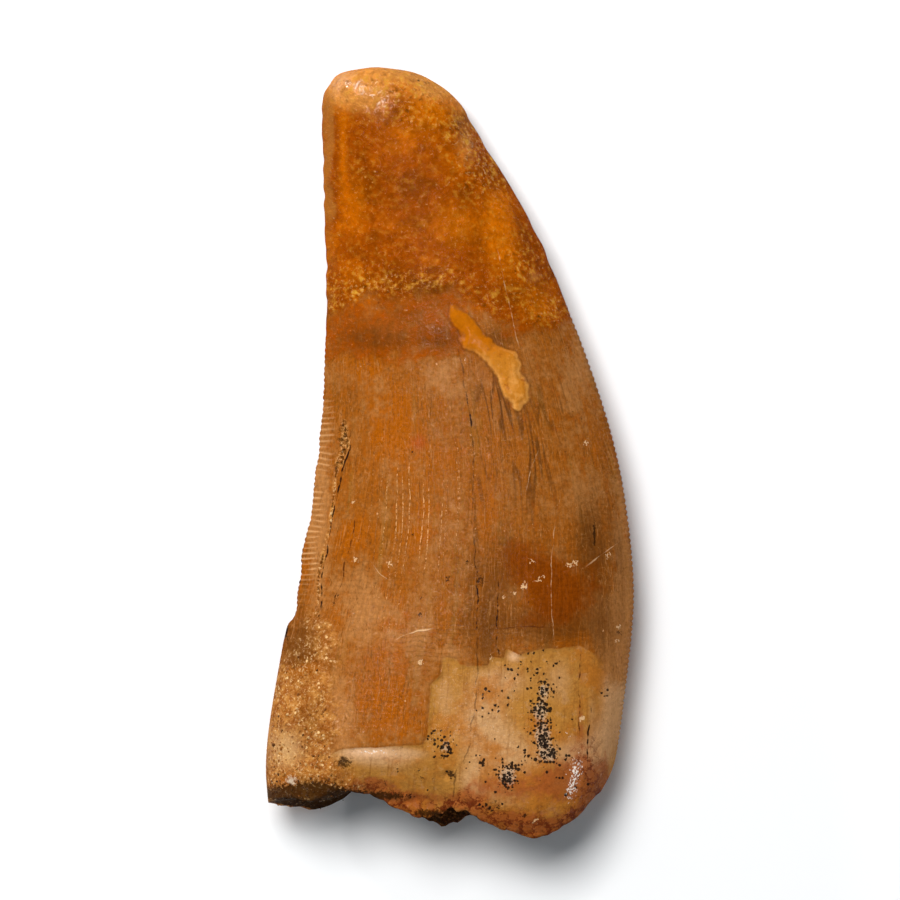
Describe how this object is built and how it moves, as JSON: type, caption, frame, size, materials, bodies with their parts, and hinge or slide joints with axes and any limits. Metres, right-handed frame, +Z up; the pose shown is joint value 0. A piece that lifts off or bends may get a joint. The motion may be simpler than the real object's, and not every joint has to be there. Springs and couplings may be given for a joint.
{
  "type": "fossil tooth",
  "caption": "Fossil tooth of a large meat-eating dinosaur: a thin curved blade with sawtooth edges, a broken base and a blunt rebuilt tip, lying on its side.",
  "frame": {"origin": "on the surface that the tooth lies on, under the middle of its plan", "axes": "+Y from the broken base to the tip, +X from the thin back edge to the fuller front edge, +Z up from the surface"},
  "size_m": [0.0332, 0.0698, 0.0129],
  "materials": {
    "enamel": "iron-stained fossil enamel, polished by wear, with striations along the blade; bare dentine at the base and grit set in resin at the tip",
    "sandstone": "coarse sandstone grains cemented to the back edge, matt with glints"
  },
  "bodies": {
    "root": {"tooth": "enamel"}
  },
  "joints": []
}
